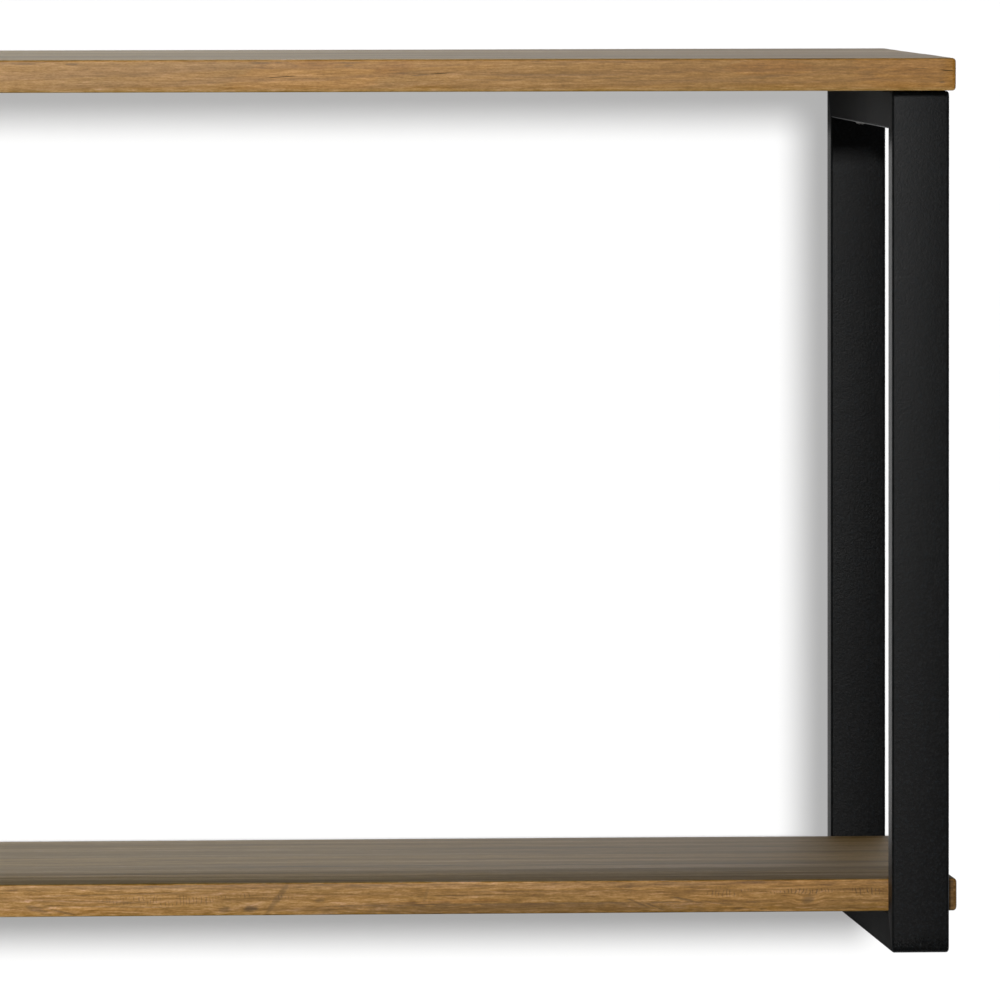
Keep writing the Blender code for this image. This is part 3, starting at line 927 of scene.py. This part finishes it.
def board_mesh(low, high, seed, settings):
    """A plank with eased edges and planed faces."""
    bm = bmesh.new()
    edge = bm.verts.layers.float.new("edge")
    middle = (low + high) / 2
    half = (high - low) / 2
    flats = (ceil(2 * half.y / FLAT_PITCH), FACE_POINTS + 1)
    rings = []
    for place, inset in board_stations(half.x, settings):
        ring = []
        outline = board_outline(half.y - inset, half.z - inset, settings.long_edge_ease, flats)
        for (across, up), weight in outline:
            point = Vector((middle.x + place, middle.y + across, middle.z + up))
            in_ease = max(weight, min(1.0, inset / settings.end_edge_ease))
            outward = face_normal(across / half.y, up / half.z)
            vert = bm.verts.new(point + outward * planed(point, in_ease, seed, settings))
            vert[edge] = in_ease
            ring.append(vert)
        rings.append(ring)
    loft(bm, rings)
    return bm


def add_checks(bm, low, high, marks, depth):
    """Thin wedges for cutting the open checks into the front edge of a board."""
    for mark in marks["streaks"]:
        if mark.strength < MARK_IS_OPEN:
            continue
        turn = Matrix.Rotation(-atan(mark.slope), 3, "Y")
        rings = []
        for inward, share in CHECK_SECTIONS:
            middle = mark.centre(low, high) + Vector((0.0, inward * depth, 0.0))
            ring = []
            for step in range(CHECK_SIDES):
                angle = tau * step / CHECK_SIDES
                lens = Vector((mark.length / 2 * cos(angle), 0.0, mark.height / 2 * sin(angle) * share))
                ring.append(bm.verts.new(middle + turn @ lens))
            rings.append(ring)
        loft(bm, rings)


class SHELF_OT_boards(bpy.types.Operator):
    """Make the two planed pine boards"""

    bl_idname = "shelf.boards"
    bl_label = "Boards"

    def execute(self, context):
        settings = context.scene.shelf_boards
        for level, looks in BOARD_LOOKS.items():
            low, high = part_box(f"{level}_board")
            pine = make_pine(f"stained_pine_{level}", low, high, looks, settings)
            bm = board_mesh(low, high, looks["seed"], settings)
            board = add_piece(f"{level}_plank", bm, pine, "pine", f"{level}_board")
            cuts = bmesh.new()
            add_checks(cuts, low, high, looks["marks"], settings.check_depth)
            for side in SIDES:
                for place in screw_places(side, level):
                    base = Vector((place.x, place.y, low.z - settings.check_depth))
                    add_rod(cuts, settings.pilot_diameter, base, SCREW_BITE + 2 * settings.check_depth)
            cut_away(board, cuts)
            smooth_over(board, BOARD_CREASE)
        return {"FINISHED"}


# Loops

TUBE_EDGE_STEPS = 6
LOOP_CORNER_STEPS = 5
KEYHOLE_STEPS = 14
TUBE_CREASE = 30
WELD_ARC_STEPS = 5
WELD_RUN_STEPS = 24
WELD_HOLLOW = 0.75
WELD_SUNK = -0.1
WELD_CREASE = 60
WELD_RIPPLE = 0.15
WELD_RIPPLES_PER_METRE = (700, 90, 90)


def tube_section(inset, radius):
    """Points round the tube as across, in from the loop's outer face, and how much on an edge."""
    across = TUBE_WIDTH / 2 - inset - radius
    near = inset + radius
    far = TUBE_DEPTH - inset - radius
    points = []
    corners = ((across, near), (across, far), (-across, far), (-across, near))
    for quarter, (side, inward) in enumerate(corners):
        for step in range(TUBE_EDGE_STEPS + 1):
            angle = pi / 2 * (quarter - 1 + step / TUBE_EDGE_STEPS)
            weight = sin(pi * step / TUBE_EDGE_STEPS)
            points.append((side + radius * cos(angle), inward + radius * sin(angle), weight))
    return points


def mitre_point(half, inward, share, radius):
    """Where a line of the tube lies as the loop turns its corner: along the side, and in."""
    turn = pi / 4 * share
    if inward < radius:
        along = half - radius + (radius - inward) * sin(turn)
        return along, radius - (radius - inward) * cos(turn)
    return half - inward - radius * (1 - share), inward


def tube_mesh(middle_x, centre, half_run, half_other, turn, settings):
    """One side of a loop, hollow and mitred, turned into its place about the loop's centre."""
    bm = bmesh.new()
    edge = bm.verts.layers.float.new("edge")
    spin = Matrix.Rotation(turn, 3, "X")
    shares = [step / LOOP_CORNER_STEPS for step in range(LOOP_CORNER_STEPS + 1)]
    stations = [(-1, share) for share in reversed(shares)] + [(1, share) for share in shares]
    shells = []
    for inset, radius in ((0.0, settings.edge_radius), (settings.wall, settings.bore_radius)):
        rings = []
        for end, share in stations:
            ring = []
            for across, inward, weight in tube_section(inset, radius):
                along, depth = mitre_point(half_run, inward, share, settings.corner_radius)
                local = Vector((across, end * along, half_other - depth))
                vert = bm.verts.new(Vector((middle_x, centre.y, centre.z)) + spin @ local)
                vert[edge] = weight if inset == 0 else 0.0
                ring.append(vert)
            rings.append(ring)
        for first, second in zip(rings, rings[1:]):
            bridge(bm, first, second)
        shells.append(rings)
    for end in (0, -1):
        bridge(bm, shells[0][end], shells[1][end])
    return bm


def keyhole_mesh(middle_x, settings):
    """A keyhole prism through the back wall of a rear post; the slot ends at the hanging point."""
    bm = bmesh.new()
    entry = settings.keyhole_entry / 2
    slot = settings.keyhole_slot / 2
    shoulder = asin(slot / entry)
    outline = []
    for step in range(2 * KEYHOLE_STEPS + 1):
        angle = pi / 2 + shoulder + (tau - 2 * shoulder) * step / (2 * KEYHOLE_STEPS)
        outline.append((entry * cos(angle), entry * sin(angle) - settings.keyhole_rise))
    for step in range(KEYHOLE_STEPS + 1):
        angle = pi * step / KEYHOLE_STEPS
        outline.append((slot * cos(angle), slot * sin(angle)))
    rings = []
    for y in (LOOP_BACK - 3 * settings.wall, LOOP_BACK + settings.wall):
        rings.append([bm.verts.new((middle_x + x, y, z)) for x, z in outline])
    loft(bm, rings)
    return bm


class SHELF_OT_loops(bpy.types.Operator):
    """Make the posts and bars of both loops"""

    bl_idname = "shelf.loops"
    bl_label = "Loops"

    def execute(self, context):
        settings = context.scene.shelf_loops
        coats = {part: make_powder_coat(f"black_coat_{part}", settings, *finish)
                 for part, finish in COAT_FINISHES.items()}
        centre = Vector((0.0, (LOOP_FRONT + LOOP_BACK) / 2, (LOOP_TOP + LOOP_BOTTOM) / 2))
        half_depth = (LOOP_BACK - LOOP_FRONT) / 2
        half_height = (LOOP_TOP - LOOP_BOTTOM) / 2
        sides = (("top_bar", 0, half_depth, half_height), ("front_post", 90, half_height, half_depth),
                 ("bottom_bar", 180, half_depth, half_height), ("rear_post", 270, half_height, half_depth))
        for side in SIDES:
            low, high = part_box(f"{side}_front_post")
            middle_x = (low.x + high.x) / 2
            for name, turn, half_run, half_other in sides:
                bm = tube_mesh(middle_x, centre, half_run, half_other, radians(turn), settings)
                tube = add_piece(f"{side}_{name}_tube", bm, coats[name], "powder_coat", f"{side}_{name}")
                if name == "rear_post":
                    cut_away(tube, keyhole_mesh(middle_x, settings))
                elif name != "front_post":
                    cuts = bmesh.new()
                    level = "upper" if name == "top_bar" else "lower"
                    for place in screw_places(side, level):
                        add_rod(cuts, settings.screw_hole, place, SCREW_HIGH.z - SCREW_LOW.z)
                    cut_away(tube, cuts)
                smooth_over(tube, TUBE_CREASE)
        return {"FINISHED"}


def weld_section(leg):
    """Points round a hollow weld, in from the walls of its corner and a little sunk into them."""
    sunk = WELD_SUNK * leg
    section = [(sunk, sunk), (leg, sunk)]
    for step in range(WELD_ARC_STEPS + 1):
        angle = pi / 2 * step / WELD_ARC_STEPS
        section.append((leg * (1 - WELD_HOLLOW * sin(angle)) * (step < WELD_ARC_STEPS),
                        leg * (1 - WELD_HOLLOW * cos(angle)) * (step > 0)))
    return section + [(sunk, leg)]


def weld_mesh(start, run, settings):
    """Rippled welds across the four inner corners of a loop."""
    bm = bmesh.new()
    bm.verts.layers.float.new("edge")
    for z, into_z in ((LOOP_TOP - TUBE_DEPTH, -1), (LOOP_BOTTOM + TUBE_DEPTH, 1)):
        for y, into_y in ((LOOP_FRONT + TUBE_DEPTH, 1), (LOOP_BACK - TUBE_DEPTH, -1)):
            rings = []
            for station in range(WELD_RUN_STEPS + 1):
                place = Vector((start + run * station / WELD_RUN_STEPS, y, z))
                ripple = noise.noise(place * Vector(WELD_RIPPLES_PER_METRE))
                section = weld_section(settings.weld_leg * (1.0 + WELD_RIPPLE * ripple))
                rings.append([bm.verts.new((place.x, y + into_y * a, z + into_z * b)) for a, b in section])
            loft(bm, rings)
    return bm


class SHELF_OT_welds(bpy.types.Operator):
    """Run a small weld into each inner corner of the loops"""

    bl_idname = "shelf.welds"
    bl_label = "Welds"

    def execute(self, context):
        settings = context.scene.shelf_loops
        coat = bpy.data.materials.get("black_coat_top_bar")
        if coat is None:
            raise RuntimeError("make the loops before their welds")
        for side in SIDES:
            low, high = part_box(f"{side}_front_post")
            run = high.x - low.x - 2 * settings.edge_radius
            bm = weld_mesh(low.x + settings.edge_radius, run, settings)
            weld = add_piece(f"{side}_corner_welds", bm, coat, "powder_coat")
            smooth_over(weld, WELD_CREASE)
        return {"FINISHED"}


# Screws

HEAD_STEPS = 8
SCREW_SIDES = 32
THREAD_STEPS = 8
SCREW_CREASE = 40
# Where the thread starts, in depths of the tube above the head, and how blunt the point is
THREAD_START = 0.6
BLUNT = 0.08
# How far up from the face of the head each section of the recess lies, in depths of it, and its width
RECESS_SECTIONS = ((-1, 1.25), (0, 1.0), (1, 0.45))


def screw_mesh(base, top, settings):
    """A pan-head wood screw standing on its head, with a real thread."""
    bm = bmesh.new()
    edge = bm.verts.layers.float.new("edge")
    head = (SCREW_HIGH.x - SCREW_LOW.x) / 2
    dome = settings.head_height - settings.head_rim
    shank = settings.shank_diameter / 2
    core = shank - settings.thread_depth
    rows = []
    for step in range(1, HEAD_STEPS + 1):
        angle = pi / 2 * step / HEAD_STEPS
        rows.append((base.z + dome * (1 - cos(angle)), head * sin(angle), 0.0))
    rows.append((base.z + settings.head_height, head, 0.0))
    rows.append((base.z + settings.head_height, shank, 0.0))
    smooth_end = base.z + settings.head_height + TUBE_DEPTH * THREAD_START
    rows.append((smooth_end, shank, 0.0))
    rise = settings.thread_pitch / THREAD_STEPS
    count = int((top - smooth_end) / rise)
    for step in range(1, count + 1):
        z = smooth_end + step * rise
        taper = min(1.0, max(BLUNT, (top - z) / settings.tip))
        rows.append((z, core * taper, settings.thread_depth * min(1.0, step / THREAD_STEPS) * taper))
    rings = []
    for z, radius, thread in rows:
        ring = []
        for step in range(SCREW_SIDES):
            angle = tau * step / SCREW_SIDES
            turn = ((z - smooth_end) / settings.thread_pitch - step / SCREW_SIDES) % 1.0
            ridge = max(0.0, 1.0 - abs(turn - 0.5) * 4.0)
            reach = radius + thread * ridge
            ring.append(bm.verts.new((base.x + reach * cos(angle), base.y + reach * sin(angle), z)))
        rings.append(ring)
    for ring in rings[HEAD_STEPS - 1:HEAD_STEPS + 1]:
        for vert in ring:
            vert[edge] = 1.0
    loft(bm, rings)
    return bm


def recess_mesh(base, settings):
    """A tapered cross for cutting the recess into a head."""
    bm = bmesh.new()
    arm = settings.recess_length / 2
    wide = settings.recess_width / 2
    rings = []
    for up, share in RECESS_SECTIONS:
        z = base.z + up * settings.recess_depth
        outline = []
        for quarter in range(4):
            turn = Matrix.Rotation(pi / 2 * quarter, 2)
            for corner in ((arm, -wide), (arm, wide), (wide, wide)):
                outline.append(turn @ (Vector(corner) * share))
        rings.append([bm.verts.new((base.x + x, base.y + y, z)) for x, y in outline])
    loft(bm, rings)
    return bm


class SHELF_OT_screws(bpy.types.Operator):
    """Make the pan-head screws under the bars"""

    bl_idname = "shelf.screws"
    bl_label = "Screws"

    def execute(self, context):
        settings = context.scene.shelf_screws
        steel = make_blackened_steel("blackened_steel", settings)
        for side in SIDES:
            for level in LEVELS:
                for end, place in zip(SCREW_ENDS, screw_places(side, level)):
                    name = f"{side}_{level}_{end}_screw"
                    base = place - Vector((0.0, 0.0, settings.stand_off))
                    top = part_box(name)[1].z
                    bm = screw_mesh(base, top, settings)
                    screw = add_piece(f"{name}_threaded", bm, steel, "screw_steel", name)
                    cut_away(screw, recess_mesh(base, settings))
                    smooth_over(screw, SCREW_CREASE)
        return {"FINISHED"}


# Stage

STAGE_REACH = 6.0
WALL_GAP = 0.0005
WALL_LAMP_DISTANCE = 10.0
# How pale the wall is in full light
WALL_WHITE = 0.985


def add_plane(name, start, side, material):
    """A rectangle from one edge of the stage to the other, with its other side as a vector."""
    start = Vector(start)
    along = Vector((2 * STAGE_REACH, 0.0, 0.0))
    corners = (start, start + along, start + along + Vector(side), start + Vector(side))
    mesh = bpy.data.meshes.new(name)
    mesh.from_pydata(corners, [], [range(len(corners))])
    mesh.materials.append(material)
    plane = bpy.data.objects.new(name, mesh)
    bpy.context.scene.collection.objects.link(plane)
    return plane


def one_sided(g, shader):
    """Show a shader on the front of a plane only, so that it hides nothing from behind."""
    back = g.node("ShaderNodeNewGeometry").outputs["Backfacing"]
    clear = g.node("ShaderNodeBsdfTransparent").outputs[0]
    shown = g.node("ShaderNodeMixShader", {0: back, 1: shader, 2: clear}).outputs[0]
    output = next(node for node in g.tree.nodes if node.type == "OUTPUT_MATERIAL")
    g.feed(output.inputs["Surface"], shown)


def make_wall_paint(name, glow, tone):
    """Pale wall that stays near white and still takes soft shadows."""
    material, g, shader, place = start_material(name)
    g.tree.nodes.remove(shader)
    rays = g.node("ShaderNodeLightPath").outputs
    seen = g.plus(rays["Is Camera Ray"], rays["Is Glossy Ray"])
    seen = g.plus(seen, rays["Is Transmission Ray"], clamp=True)
    glow = g.node("ShaderNodeEmission", {"Strength": g.times(seen, glow)}).outputs[0]
    paint = g.node("ShaderNodeBsdfDiffuse", {"Color": (tone, tone, tone)}).outputs[0]
    one_sided(g, g.node("ShaderNodeAddShader", {0: glow, 1: paint}).outputs[0])
    return material


def add_wall(name, bottom, top, glow, settings):
    """A part of the wall behind the shelf, which takes lamp light only from a lamp of its own."""
    paint = make_wall_paint(f"{name}_paint", glow, settings.wall_tone)
    start = (-STAGE_REACH, LOOP_BACK + WALL_GAP, bottom)
    wall = add_plane(name, start, (0.0, 0.0, top - bottom), paint)
    wall.visible_diffuse = False
    wall.visible_shadow = False
    return wall


def make_floor_paint(settings):
    """Plain pale floor with a faint cloudiness."""
    material, g, shader, place = start_material("floor_paint")
    cloud = g.noise(place, (2.0, 2.0, 2.0), 3.0)
    tone = g.lift(cloud, 0.06, 0.97)
    g.feed(shader.inputs["Base Color"], g.scale(tuple(settings.floor_colour), tone))
    shader.inputs["Roughness"].default_value = 0.8
    one_sided(g, shader.outputs[0])
    return material


def make_surroundings(settings):
    """Even light from all round, a little dimmer overhead."""
    world = bpy.data.worlds.new("surroundings")
    world.use_nodes = True
    g = Graph(world.node_tree)
    direction = g.node("ShaderNodeTexCoord").outputs["Generated"]
    height = g.split(direction)[2]
    strength = g.rise(height, 0.0, 0.8, settings.around_light, settings.overhead_light)
    g.feed(world.node_tree.nodes["Background"].inputs["Color"], (1.0, 1.0, 1.0))
    g.feed(world.node_tree.nodes["Background"].inputs["Strength"], strength)
    bpy.context.scene.world = world


def add_lamp(name, kind, place, aim):
    """A lamp that points at an aim and is itself not in the picture."""
    lamp = bpy.data.objects.new(name, bpy.data.lights.new(name, kind))
    lamp.location = place
    lamp.rotation_mode = "QUATERNION"
    lamp.rotation_quaternion = (Vector(aim) - Vector(place)).to_track_quat("-Z", "Y")
    lamp.visible_camera = False
    bpy.context.scene.collection.objects.link(lamp)
    return lamp


def linked(name, targets, state):
    """A collection that lets a lamp reach only its targets, or everything but them."""
    links = bpy.data.collections.new(name)
    for place, target in enumerate(targets):
        links.objects.link(target)
        links.collection_objects[place].light_linking.link_state = state
    return links


def add_wall_lamp(wall, glow, rise, settings):
    """A far lamp for one wall only, which makes up what its glow lacks in full light."""
    far = WALL_LAMP_DISTANCE
    place = (far * tan(settings.wall_lamp_turn), -far, far * tan(rise))
    name = f"{wall.name}_lamp"
    wash = add_lamp(name, "SUN", place, (0.0, 0.0, 0.0))
    wash.data.angle = settings.wall_lamp_spread
    wash.data.energy = pi * (WALL_WHITE - glow) / settings.wall_tone
    wash.light_linking.receiver_collection = linked(f"{name}_lit", [wall], "INCLUDE")
    return wash


def add_camera(settings):
    """The camera, turned by pan, tilt and roll."""
    camera = bpy.data.objects.new("camera", bpy.data.cameras.new("camera"))
    bpy.context.scene.collection.objects.link(camera)
    camera.data.lens = settings.lens
    camera.data.clip_end = 100.0
    pan, tilt, roll = settings.camera_pan, settings.camera_tilt, settings.camera_roll
    ahead = Vector((sin(pan) * cos(tilt), cos(pan) * cos(tilt), sin(tilt)))
    level = Vector((cos(pan), -sin(pan), 0.0))
    upright = level.cross(ahead)
    right = level * cos(roll) + upright * sin(roll)
    up = upright * cos(roll) - level * sin(roll)
    turn = Matrix((right, up, -ahead)).transposed()
    camera.matrix_world = Matrix.Translation(settings.camera_place) @ turn.to_4x4()
    bpy.context.scene.camera = camera


class SHELF_OT_stage(bpy.types.Operator):
    """Set up the wall, floor, lamps and camera"""

    bl_idname = "shelf.stage"
    bl_label = "Stage"

    def execute(self, context):
        settings = context.scene.shelf_stage
        context.scene.view_settings.view_transform = "Standard"
        plank = bpy.data.objects.get("lower_plank")
        if plank is None:
            raise RuntimeError("make the boards before the stage")
        ground = -settings.floor_drop
        seam = -settings.wall_seam
        upper = add_wall("upper_wall", seam, STAGE_REACH, settings.upper_wall_glow, settings)
        lower = add_wall("lower_wall", ground, seam, settings.lower_wall_glow, settings)
        add_plane("floor", (-STAGE_REACH, -STAGE_REACH, ground), (0.0, 2 * STAGE_REACH, 0.0),
                  make_floor_paint(settings))
        make_surroundings(settings)

        key = add_lamp("key_lamp", "AREA", settings.key_place, settings.key_aim)
        key.data.size = settings.key_size
        away = (Vector(settings.key_place) - Vector(settings.key_aim)).length
        key.data.energy = settings.key_share * (pi * away) ** 2
        key.light_linking.receiver_collection = linked("key_lit", [upper, lower], "EXCLUDE")
        add_wall_lamp(upper, settings.upper_wall_glow, settings.upper_lamp_rise, settings)
        wash = add_wall_lamp(lower, settings.lower_wall_glow, settings.lower_lamp_rise, settings)
        # Below the lower board only the board shades the wall
        wash.light_linking.blocker_collection = linked("lower_shade", [plank], "INCLUDE")
        add_camera(settings)
        return {"FINISHED"}


OPERATORS = (SHELF_OT_boards, SHELF_OT_loops, SHELF_OT_welds, SHELF_OT_screws, SHELF_OT_stage)


class SHELF_PT_sidebar(bpy.types.Panel):
    """Steps and settings of the wall shelf"""

    bl_idname = "SHELF_PT_sidebar"
    bl_label = "Wall Shelf"
    bl_space_type = "VIEW_3D"
    bl_region_type = "UI"
    bl_category = "Shelf"

    def draw(self, context):
        layout = self.layout
        for operator in OPERATORS:
            layout.operator(operator.bl_idname)
        for name in SETTINGS:
            settings = getattr(context.scene, name)
            box = layout.box()
            for field in settings.bl_rna.properties:
                if field.identifier not in ("rna_type", "name"):
                    box.prop(settings, field.identifier)


CLASSES = (*SETTINGS.values(), *OPERATORS, SHELF_PT_sidebar)


def register():
    for cls in CLASSES:
        bpy.utils.register_class(cls)
    for name, cls in SETTINGS.items():
        setattr(bpy.types.Scene, name, PointerProperty(type=cls))


def unregister():
    for name in SETTINGS:
        delattr(bpy.types.Scene, name)
    for cls in reversed(CLASSES):
        bpy.utils.unregister_class(cls)


def main():
    register()
    bpy.ops.shelf.boards()
    bpy.ops.shelf.loops()
    bpy.ops.shelf.welds()
    bpy.ops.shelf.screws()
    bpy.ops.shelf.stage()


if __name__ == "__main__":
    main()
